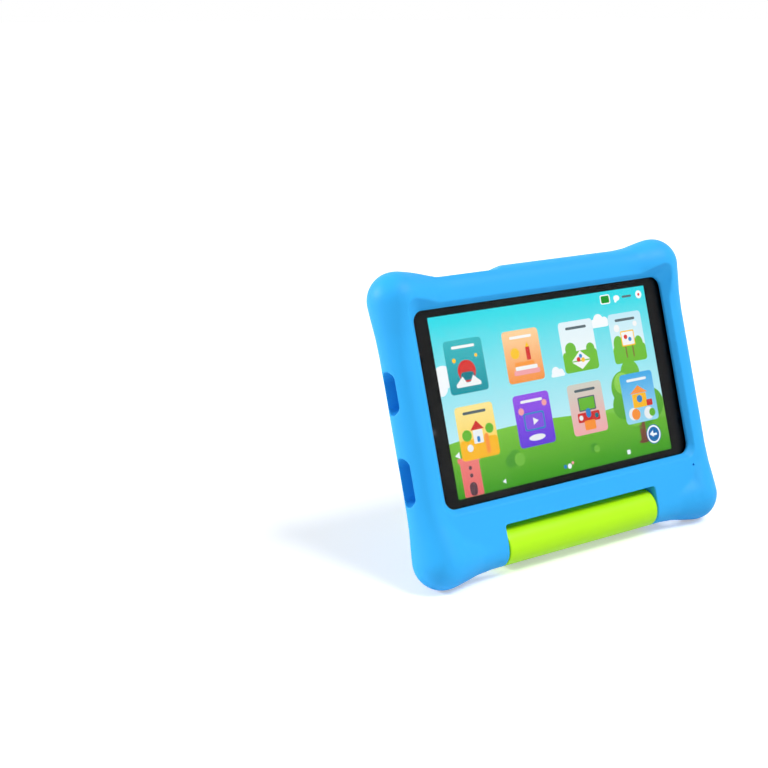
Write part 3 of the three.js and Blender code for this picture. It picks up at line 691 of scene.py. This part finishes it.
# ---- hinge pins and bushings ----
# Two steel pins hold the stand; each turns in a brass bushing pressed into the foam.
def bare_metal(name, colour, worn, roughness):
    material = moulded(name, colour, worn, roughness, mottling=0.12, grain_scale=3000, grain_depth=0.2,
                       edge_wear=0.6)
    return adjust(material, "Metallic", 1.0)


steel = bare_metal("drawn_steel", (0.60, 0.61, 0.63, 1), (0.80, 0.81, 0.82, 1), 0.32)
brass = bare_metal("turned_brass", (0.78, 0.56, 0.24, 1), (0.90, 0.72, 0.36, 1), 0.36)
for name in ("hinge_pin_left", "hinge_pin_right"):
    dress(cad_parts[name], steel)
for name in ("hinge_bushing_left", "hinge_bushing_right"):
    dress(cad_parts[name], brass)


# ---- cover glass and its black border ----
# A clear pane with a softened front edge. Black ink printed behind it makes the border, with two
# small windows left for the front camera and the light sensor.
PICTURE_WIDTH = 172.2
PICTURE_HEIGHT = 107.6

pane = rounded_plate("glass_pane", TABLET_WIDTH, TABLET_HEIGHT, 8, 0, 0.9)
soften(pane, lambda place, way: place.y < 0.01 and abs(way.y) < 0.1, 0.25, 3)
smooth(pane)
lean_back(pane)
glass = moulded("clear_glass", (1, 1, 1, 1), (1, 1, 1, 1), 0.03, mottling=0, grain_scale=900, grain_depth=0.0,
                edge_wear=0)
for socket in ("Base Color", "Normal"):
    for link in list(glass.node_tree.nodes["Principled BSDF"].inputs[socket].links):
        glass.node_tree.links.remove(link)
adjust(glass, "Base Color", (1, 1, 1, 1))
adjust(glass, "Transmission Weight", 1.0)
adjust(glass, "IOR", 1.12)
dress(pane, glass)
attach(pane, "tablet")
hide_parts("cover_glass")

border = rounded_plate("black_border", TABLET_WIDTH - 0.4, TABLET_HEIGHT - 0.4, 7.8, 0.92, 0.96)
carve(border, block("window", PICTURE_WIDTH, 4, PICTURE_HEIGHT, 0, 1, 0),
      disc("camera_window", 1.7, 0, 2, -95, -12.5), disc("sensor_window", 0.8, 0, 2, -95.5, 33.7))
lean_back(border)
ink = moulded("black_ink", (0.002, 0.002, 0.0025, 1), (0.008, 0.008, 0.008, 1), 0.35, mottling=0.3,
              grain_depth=0.05, edge_wear=0)
adjust(ink, "Specular IOR Level", 0.05)
dress(border, ink)
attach(border, "tablet")


# ---- the lit picture ----
# The start screen of a children's tablet in generic shapes: sky, hills, a tree, a small tower and
# eight picture tiles. Each shape is a thin film of its own, stacked between panel and glass.
def lit_film():
    """Shared group: one colour fading to another up the screen, with a faint shimmer."""
    group = bpy.data.node_groups.new("lit_film", "ShaderNodeTree")
    for name, kind in (("Upper", "NodeSocketColor"), ("Lower", "NodeSocketColor"),
                       ("From", "NodeSocketFloat"), ("To", "NodeSocketFloat")):
        group.interface.new_socket(name, in_out="INPUT", socket_type=kind)
    group.interface.new_socket("Colour", in_out="OUTPUT", socket_type="NodeSocketColor")
    nodes, wires = group.nodes, group.links
    given = nodes.new("NodeGroupInput")
    result = nodes.new("NodeGroupOutput")
    place = nodes.new("ShaderNodeTexCoord")
    height = nodes.new("ShaderNodeSeparateXYZ")
    wires.new(place.outputs["Object"], height.inputs[0])
    fade = nodes.new("ShaderNodeMapRange")
    wires.new(height.outputs["Z"], fade.inputs["Value"])
    wires.new(given.outputs["From"], fade.inputs["From Min"])
    wires.new(given.outputs["To"], fade.inputs["From Max"])
    shimmer = nodes.new("ShaderNodeTexNoise")
    shimmer.inputs["Scale"].default_value = 260
    wires.new(place.outputs["Object"], shimmer.inputs["Vector"])
    spread = nodes.new("ShaderNodeMath")
    spread.operation = "MULTIPLY_ADD"
    spread.inputs[1].default_value = 0.12
    spread.inputs[2].default_value = -0.06
    wires.new(shimmer.outputs[0], spread.inputs[0])
    total = nodes.new("ShaderNodeMath")
    total.operation = "ADD"
    total.use_clamp = True
    wires.new(fade.outputs[0], total.inputs[0])
    wires.new(spread.outputs[0], total.inputs[1])
    blend = nodes.new("ShaderNodeMix")
    blend.data_type = "RGBA"
    wires.new(total.outputs[0], blend.inputs[0])
    wires.new(given.outputs["Lower"], blend.inputs[6])
    wires.new(given.outputs["Upper"], blend.inputs[7])
    wires.new(blend.outputs[2], result.inputs["Colour"])
    return group


LIT_FILM = lit_film()
inks = {}


def linear(red, green_, blue):
    values = []
    for value in (red, green_, blue):
        value /= 255
        values.append(value / 12.92 if value <= 0.04045 else ((value + 0.055) / 1.055) ** 2.4)
    return (*values, 1)


def screen_height(z):
    """Height above the table of a point that is z millimetres up the screen."""
    return (TABLET_PLACE @ Vector((0, 0, z * MM))).z


def glow(name, upper, lower=None, low=-54, high=54):
    key = (name, low, high)
    if key in inks:
        return inks[key]
    material = bpy.data.materials.new("lit_" + name)
    material.use_nodes = True
    nodes, wires = material.node_tree.nodes, material.node_tree.links
    film = nodes.new("ShaderNodeGroup")
    film.node_tree = LIT_FILM
    film.inputs["Upper"].default_value = linear(*upper)
    film.inputs["Lower"].default_value = linear(*(lower or [value * 0.93 for value in upper]))
    film.inputs["From"].default_value = screen_height(low)
    film.inputs["To"].default_value = screen_height(high)
    shader = nodes["Principled BSDF"]
    shader.inputs["Base Color"].default_value = (0.01, 0.01, 0.01, 1)
    shader.inputs["Roughness"].default_value = 0.4
    shader.inputs["Specular IOR Level"].default_value = 0.0
    shader.inputs["Emission Strength"].default_value = 1.0
    wires.new(film.outputs[0], shader.inputs["Emission Color"])
    inks[key] = material
    return material


def film_depth(layer):
    front = 1.15 - 0.02 * layer
    return front, front + 0.012


def patch(look, width, height, corner, x, z, layer):
    front, back = film_depth(layer)
    return dress(rounded_plate("film", width, height, max(corner, 0.05), front, back, x, z, steps=5), look)


def dot(look, radius, x, z, layer, squash=1.0, points=28):
    front, back = film_depth(layer)
    piece = disc("film", radius, front, back, x, z, points)
    if squash != 1.0:
        squeeze(piece, "VERT", everything, (1, 1, squash), (x, 0, z))
    return dress(piece, look)


def gable(look, width, height, x, z, layer, turned=0):
    """A triangle, point up unless it is turned."""
    front, back = film_depth(layer)
    bpy.ops.mesh.primitive_cylinder_add(vertices=3, radius=1 * MM, depth=(back - front) * MM,
                                        rotation=(math.pi / 2, 0, 0))
    piece = settle(take_name(bpy.context.object, "film"))
    squeeze(piece, "VERT", everything, (width / 1.732, 1, height / 1.5), (0, 0, 0))
    piece.rotation_euler.y = turned
    piece.location = (x * MM, (front + back) / 2 * MM, z * MM)
    return dress(settle(piece), look)


def finish_films(name, films):
    piece = lean_back(join(name, films))
    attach(piece, "tablet")
    return piece


def clipped(film, width=PICTURE_WIDTH, height=PICTURE_HEIGHT, x=0, z=0):
    return fit(film, block("frame_edge", width, 4, height, x, 1, z), "INTERSECT")


white = glow("white", (250, 253, 255), (235, 244, 250))
sky_blue = glow("sky", (44, 220, 232), (190, 236, 246), -25, 50)
meadow = glow("meadow", (126, 200, 62), (56, 150, 22), -54, -14)
meadow_far = glow("far_meadow", (140, 208, 84), (96, 178, 48), -40, -12)
finish_films("screen_sky", [patch(sky_blue, PICTURE_WIDTH, PICTURE_HEIGHT, 0, 0, 0, 0)])
finish_films("screen_hills", [
    clipped(dot(meadow_far, 130, 70, -62, 1, 0.33, 96)),
    clipped(dot(meadow, 170, -30, -74, 2, 0.33, 96)),
])
finish_films("screen_clouds", [
    clipped(dot(white, 7, -82, 18, 1)), clipped(dot(white, 5, -75, 15, 1)),
    clipped(dot(white, 5, -85, 12, 1)),
    dot(white, 4.2, 43, 36, 1), dot(white, 3, 48, 35, 1), dot(white, 2.6, 39, 34.6, 1),
    patch(white, 15, 3, 1.5, 43.5, 33.2, 1),
    dot(white, 3.2, 2, 9, 1), dot(white, 2.2, 6, 8.4, 1), patch(white, 11, 2.2, 1.1, 3.5, 7, 1),
])
leaf = glow("leaf", (112, 190, 60), (70, 150, 40), -40, 5)
leaf_light = glow("light_leaf", (150, 214, 86), (110, 186, 60), -40, 5)
bark = glow("bark", (132, 84, 60), (104, 62, 44), -48, -30)
finish_films("screen_tree", [
    patch(bark, 5, 20, 1, 64.5, -36, 3), dot(bark, 4.5, 64.5, -45, 3, 0.3),
    dot(leaf, 11, 55, -9, 3), dot(leaf, 9, 52, -20, 3), dot(leaf, 11, 66, -26, 3),
    dot(leaf, 10, 76, -22, 3),
    dot(leaf, 8, 62, 0, 3), dot(leaf_light, 7, 54, -6, 4), dot(leaf_light, 5, 60, -30, 4),
    dot(leaf_light, 5, 74, -27, 4),
    dot(leaf, 5, -40, -37, 3), dot(leaf_light, 4, -37, -38.5, 4), dot(leaf, 4, -44, -38.5, 3),
    dot(leaf, 3.2, 22, -42, 3), dot(leaf_light, 2.4, 24, -43, 4),
])
coral = glow("coral", (238, 128, 122), (226, 104, 104), -54, -30)
dark_door = glow("dark_door", (110, 74, 84), (84, 56, 66), -54, -30)
red = glow("red", (222, 58, 52), (196, 40, 40))
finish_films("screen_tower", [
    patch(coral, 14, 22, 0.8, -74, -42.7, 3), patch(coral, 16.5, 3, 0.6, -74, -32, 4),
    patch(dark_door, 5.4, 8, 2.6, -74, -49.5, 4), dot(dark_door, 1.2, -74, -37, 4),
    dot(dark_door, 1.2, -74, -41.5, 4),
    gable(white, 4, 3.6, -81, -28.5, 4, 0.5), gable(white, 4, 3.6, -67, -28.5, 4, -0.5),
])

TILE_WIDTH, TILE_HEIGHT = 28, 32
CARD, ART_1, ART_2, ART_3, ART_4, ART_5 = range(6, 12)    # layers of a tile, the card at the back
book_page = glow("page", (252, 252, 250), (226, 232, 236))
orange = glow("orange", (250, 162, 72), (246, 140, 50))
yellow = glow("yellow", (252, 206, 52), (246, 176, 30))
teal_dark = glow("dark_teal", (20, 128, 140), (10, 108, 122))
grey_ink = glow("grey", (96, 112, 118), (76, 92, 98))
sea = glow("sea", (60, 150, 214), (40, 120, 190))
grass = glow("tile_grass", (128, 204, 62), (80, 168, 40))
pink = glow("pink", (244, 172, 176), (236, 150, 158))
violet = glow("violet", (150, 104, 236), (120, 72, 214))


def tile(x, z, upper, lower, caption):
    """A tile's card, with a plain bar where a caption would stand."""
    look = glow(f"tile_{x}_{z}", upper, lower, z - TILE_HEIGHT / 2, z + TILE_HEIGHT / 2)
    return [
        patch(look, TILE_WIDTH, TILE_HEIGHT, 2.4, x, z, CARD),
        patch(caption, 17, 1.7, 0.85, x, z + 11.6, ART_1),
    ]


def story_tile(x, z):
    return tile(x, z, (60, 186, 194), (16, 146, 160), book_page) + [
        dot(red, 6.6, x, z - 3, ART_1), patch(teal_dark, 10, 5, 2.4, x, z - 6, ART_2),
        gable(book_page, 9, 5.4, x - 4.4, z - 9.4, ART_3, 0.15),
        gable(book_page, 9, 5.4, x + 4.4, z - 9.4, ART_3, -0.15),
        patch(book_page, 18, 2.4, 0.6, x, z - 11, ART_3),
        dot(yellow, 1.4, x - 8, z + 4, ART_1), dot(yellow, 1.1, x + 8.4, z + 5.4, ART_1),
    ]


def study_tile(x, z):
    return tile(x, z, (255, 214, 160), (246, 146, 66), book_page) + [
        patch(pink, 20, 3, 0.8, x + 1, z - 10, ART_1),
        patch(book_page, 17, 2.4, 0.6, x + 1, z - 7.4, ART_2),
        patch(orange, 15, 2.4, 0.6, x, z - 4.8, ART_1), patch(red, 3.2, 8, 0.4, x + 4, z + 1, ART_2),
        gable(yellow, 3.2, 3, x + 4, z + 6, ART_2), dot(yellow, 3.4, x - 6, z + 2, ART_1),
    ]


def craft_tile(x, z):
    return tile(x, z, (226, 244, 250), (244, 250, 250), grey_ink) + [
        patch(grass, TILE_WIDTH, 13, 2.4, x, z - 9.5, ART_1),
        dot(leaf, 4.4, x - 7, z - 1.5, ART_2), dot(leaf, 3.4, x + 9, z - 2.5, ART_2),
        gable(book_page, 15, 6, x, z - 7, ART_3), gable(book_page, 15, 5, x, z - 11.4, ART_3, math.pi),
        dot(red, 1.5, x - 2, z - 8.4, ART_4), dot(yellow, 1.5, x + 1.6, z - 9, ART_4),
        dot(sea, 1.3, x, z - 6.4, ART_4),
    ]


def painting_tile(x, z):
    return tile(x, z, (196, 236, 248), (232, 247, 250), grey_ink) + [
        patch(grass, TILE_WIDTH, 11, 2.4, x, z - 10.5, ART_1),
        dot(leaf, 4.2, x - 8.6, z - 4, ART_2, 1.4), dot(leaf, 3.6, x + 8.6, z - 5, ART_2, 1.4),
        patch(yellow, 11.6, 10, 0.8, x, z - 0.6, ART_3), patch(book_page, 10, 8.4, 0.5, x, z - 0.6, ART_4),
        dot(red, 1.5, x - 1.8, z + 0.4, ART_5), dot(sea, 1.4, x + 1.6, z - 1.4, ART_5),
        patch(bark, 0.9, 8, 0.3, x - 3, z - 9, ART_2), patch(bark, 0.9, 8, 0.3, x + 3, z - 9, ART_2),
        dot(book_page, 2.4, x - 8, z + 6.6, ART_1), dot(book_page, 1.8, x + 8, z + 8, ART_1),
    ]


def park_tile(x, z):
    return tile(x, z, (252, 232, 150), (250, 206, 70), grey_ink) + [
        patch(yellow, TILE_WIDTH, 12, 2.4, x, z - 10, ART_1), dot(grass, 3.4, x - 8, z - 1.4, ART_2),
        dot(grass, 3, x + 9, z + 0.6, ART_2), patch(book_page, 7, 8, 0.4, x, z - 3, ART_3),
        gable(red, 10, 5.4, x, z + 3, ART_4), patch(sea, 2.2, 3.4, 0.8, x, z - 4.6, ART_4),
        patch(orange, 3, 12, 1.4, x + 6, z - 8, ART_3), dot(book_page, 2.2, x - 7, z - 9, ART_3),
    ]


def video_tile(x, z):
    return tile(x, z, (150, 84, 232), (96, 60, 216), book_page) + [
        patch(sea, 16, 11, 1.6, x, z - 1, ART_1), patch(violet, 14, 9, 1.2, x, z - 1, ART_2),
        gable(book_page, 4.6, 4.2, x + 0.4, z - 1, ART_3, math.pi / 2),
        dot(book_page, 6.4, x, z - 11, ART_1, 0.3), dot(pink, 2.2, x - 9, z + 6, ART_1),
        dot(pink, 2, x + 9.6, z + 9, ART_1),
    ]


def game_tile(x, z):
    return tile(x, z, (206, 208, 196), (238, 170, 172), grey_ink) + [
        patch(grey_ink, 14, 9, 0.8, x, z + 3, ART_1), patch(grass, 12.4, 7.4, 0.5, x, z + 3, ART_2),
        patch(red, 18, 6, 1, x, z - 5.4, ART_1), patch(sea, 4, 6, 2, x, z - 3, ART_3),
        patch(orange, 9, 6, 1, x, z - 10.6, ART_2), dot(book_page, 1.6, x - 6.4, z - 5.4, ART_2),
        dot(teal_dark, 1.6, x + 6.4, z - 5.4, ART_2),
    ]


def house_tile(x, z):
    return tile(x, z, (60, 168, 232), (150, 214, 240), book_page) + [
        dot(book_page, 4, x - 7, z - 10, ART_1), dot(book_page, 4, x + 6, z - 11, ART_1),
        patch(yellow, 12, 9, 1, x, z - 2, ART_2), gable(orange, 15, 5, x, z + 4.4, ART_3),
        dot(sea, 2.4, x, z - 1, ART_3), patch(red, 5, 4, 0.6, x + 8, z - 4.4, ART_3),
        dot(orange, 3.6, x - 5, z - 10.4, ART_3), dot(grass, 2.6, x + 9, z - 11, ART_2),
    ]


UPPER_ROW, LOWER_ROW = 22.5, -16.8
finish_films("screen_tiles", [
    *story_tile(-64.5, UPPER_ROW), *study_tile(-21, UPPER_ROW),
    *craft_tile(23.5, UPPER_ROW), *painting_tile(65, UPPER_ROW),
    *park_tile(-64.5, LOWER_ROW), *video_tile(-21, LOWER_ROW),
    *game_tile(22, LOWER_ROW), *house_tile(66, LOWER_ROW),
])

arrow_blue = glow("arrow_blue", (28, 120, 190), (20, 104, 172))
battery_green = glow("battery_green", (24, 150, 40), (16, 130, 30))
finish_films("screen_marks", [
    dot(arrow_blue, 6.3, 73, -42, 6), dot(white, 5.8, 73, -42, 7), dot(arrow_blue, 4.7, 73, -42, 8),
    gable(white, 4.4, 3.4, 71.6, -41.6, 9, -math.pi / 2), patch(white, 3.4, 1.4, 0.6, 74, -42.2, 9),
    gable(white, 3, 2.6, -50.8, -49.4, 6, -math.pi / 2), dot(white, 1.6, 0, -49.6, 6),
    patch(white, 2.8, 2.8, 0.4, 49.5, -49.6, 6), dot(sea, 1.2, -3.4, -49.4, 5), dot(pink, 1, 2.8, -48, 5),
    patch(white, 8.4, 6, 1.4, 51.5, 48.6, 6), patch(battery_green, 6.8, 4.6, 0.8, 51.5, 48.6, 7),
    dot(white, 1, 60, 46.6, 6), dot(white, 2.6, 61.2, 48.4, 5, 0.7),
    patch(grey_ink, 8, 1.4, 0.7, 70, 48.6, 6),
    dot(white, 2.6, 80.5, 48.6, 6), dot(red, 0.9, 80.5, 48.6, 7),
])


# ---- rear camera ----
# A dark stadium plate in a silver ring, with the lens at the top, its face stepped down in rings, and a cream
# flash window below it.
LENS_Z = CAMERA_Z + 5.5
LENS_RADIUS = 3.6
LENS_BACK = 11.3
FLASH_Z = CAMERA_Z - 5.3



def stepped_face(piece, steps):
    """Insets the rear face again and again, each time by a width and then a depth."""
    edit(piece, "FACE", lambda place, way: way.y > 0.9)
    for width, depth in steps:
        bpy.ops.mesh.inset(thickness=width * MM)
        bpy.ops.transform.translate(value=(0, depth * MM, 0))
    close_edit()


window = rounded_plate("camera_plate", 13, 26, 6.49, 9.5, 10.5, CAMERA_X, CAMERA_Z, steps=12)
soften(window, lambda place, way: place.y > 10.4 and abs(way.y) < 0.1, 0.15, 2)
smooth(window)
lean_back(window)
dark_plate = moulded("dark_plate", (0.055, 0.048, 0.042, 1), (0.2, 0.19, 0.18, 1), 0.22, mottling=0.2,
                     grain_depth=0.1)
adjust(dark_plate, "Coat Weight", 0.6)
dress(window, dark_plate)
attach(window, "tablet")
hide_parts("camera_window")

ring = rounded_plate("camera_ring", 15.4, 28.4, 7.69, 9.5, 10.7, CAMERA_X, CAMERA_Z, steps=12)
carve(ring, rounded_plate("ring_hole", 13.6, 26.6, 6.79, 5, 15, CAMERA_X, CAMERA_Z, steps=12))
soften(ring, lambda place, way: place.y > 10.6 and abs(way.y) < 0.1, 0.15, 2)
smooth(ring)
lean_back(ring)
dress(ring, bare_metal("bright_ring", (0.74, 0.75, 0.77, 1), (0.9, 0.9, 0.9, 1), 0.22))
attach(ring, "tablet")
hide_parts("camera_trim")

lens_middle = Vector((CAMERA_X, LENS_BACK, LENS_Z))
lens = disc("camera_lens_stack", LENS_RADIUS, 10.8, LENS_BACK, CAMERA_X, LENS_Z, 48)
stepped_face(lens, ((0.45, 0), (0.12, -0.25), (0.7, 0), (0.1, -0.12), (0.6, 0), (0.08, -0.08)))
soften(lens, lambda place, way: (place.y > LENS_BACK - 0.05
                                 and abs((place - lens_middle).length - LENS_RADIUS) < 0.1), 0.1, 2)
smooth(lens)
lean_back(lens)
barrel = moulded("lens_barrel", (0.006, 0.006, 0.008, 1), (0.05, 0.05, 0.06, 1), 0.12, mottling=0.4,
                 grain_depth=0.05)
adjust(barrel, "Coat Weight", 1.0)
dress(lens, barrel)
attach(lens, "tablet")
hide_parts("camera_lens")

flash = disc("flash_window", 1.9, 10.8, 11.2, CAMERA_X, FLASH_Z, 32)
stepped_face(flash, ((0.3, 0), (0.1, -0.12), (0.35, 0), (0.06, 0.08), (0.35, 0), (0.06, -0.06)))
smooth(flash)
lean_back(flash)
cream = moulded("flash_diffuser", (0.84, 0.72, 0.38, 1), (0.95, 0.88, 0.6, 1), 0.2, mottling=0.15,
                grain_depth=0.2)
dress(flash, cream)
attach(flash, "tablet")
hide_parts("flash_lens")


# ---- power key and volume rocker ----
# Two dark plastic keys with softened edges that stand in the slot on the tablet's top edge.
# The rocker has a shallow groove across its middle to tell its two ends apart by touch.
def span(values):
    return min(values), max(values)


def key(name, node, body, grooved=False):
    """A key as wide as the top of its solid, on a thin flange as wide as its foot."""
    upright = TABLET_PLACE.inverted()
    corners = [upright @ vertex.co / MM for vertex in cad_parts[node].data.vertices]
    front, back = span([corner.y for corner in corners])
    foot, top = span([corner.z for corner in corners])
    foot_left, foot_right = span([corner.x for corner in corners])
    left, right = span([corner.x for corner in corners if corner.z > top - 0.1])
    x, y = (left + right) / 2, (front + back) / 2
    cap = block(name, right - left, back - front, top - foot, x, y, (top + foot) / 2)
    soften(cap, everything, 0.45, 3)
    if grooved:
        carve(cap, rod("finger_groove", 1.0, 1.6, x, y, top + 0.6, points=24))
    flange = block(name + "_flange", foot_right - foot_left, back - front, 1, (foot_left + foot_right) / 2, y,
                   foot + 0.5)
    soften(flange, everything, 0.12, 2)
    piece = fit(cap, flange, "UNION")
    smooth(piece)
    lean_back(piece)
    dress(piece, key_plastic)
    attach(piece, body)
    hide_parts(node)


key_plastic = moulded("key_plastic", (0.035, 0.037, 0.041, 1), (0.12, 0.12, 0.13, 1), 0.36, mottling=0.2)
key("power_key_cap", "power_button", "power_key")
key("volume_rocker_cap", "volume_rocker", "volume_key", grooved=True)


# ---- tablet shells and inner parts ----
# The solids that carry over with their own shapes: the dark housing and frame, the panel stack,
# the battery, the boards and the ports. Each gets its own finish.
housing = moulded("charcoal_housing", (0.030, 0.032, 0.036, 1), (0.10, 0.10, 0.11, 1), 0.42, mottling=0.15,
                  grain_scale=1800)
black = moulded("black_plastic", (0.014, 0.014, 0.016, 1), (0.06, 0.06, 0.06, 1), 0.4, mottling=0.25)
diffuser = moulded("white_diffuser", (0.78, 0.80, 0.80, 1), (0.86, 0.86, 0.84, 1), 0.5)
pouch = moulded("battery_pouch", (0.42, 0.43, 0.45, 1), (0.66, 0.66, 0.66, 1), 0.3, mottling=0.2,
                grain_scale=500)
adjust(pouch, "Metallic", 0.8)
circuit = moulded("solder_mask", (0.012, 0.16, 0.05, 1), (0.3, 0.28, 0.1, 1), 0.38, mottling=0.35,
                  grain_scale=700)
flex = moulded("amber_flex", (0.44, 0.19, 0.045, 1), (0.6, 0.34, 0.12, 1), 0.34, mottling=0.2)
CARRIED = (
    (housing, ("rear_housing", "mid_frame")),
    (black, ("display_panel", "rear_camera", "front_camera", "light_sensor", "headphone_jack",
             "speaker_upper", "speaker_lower")),
    (diffuser, ("backlight_unit",)),
    (pouch, ("battery",)),
    (circuit, ("main_board", "button_board")),
    (flex, ("battery_lead", "display_flex", "wifi_antenna")),
    (steel, ("shield_can", "usb_c_port", "card_slot", "microphone", "power_switch", "volume_up_switch",
             "volume_down_switch", "board_screw_1", "board_screw_2", "board_screw_3", "board_screw_4")),
)
for finish, names in CARRIED:
    for name in names:
        dress(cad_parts[name], finish)
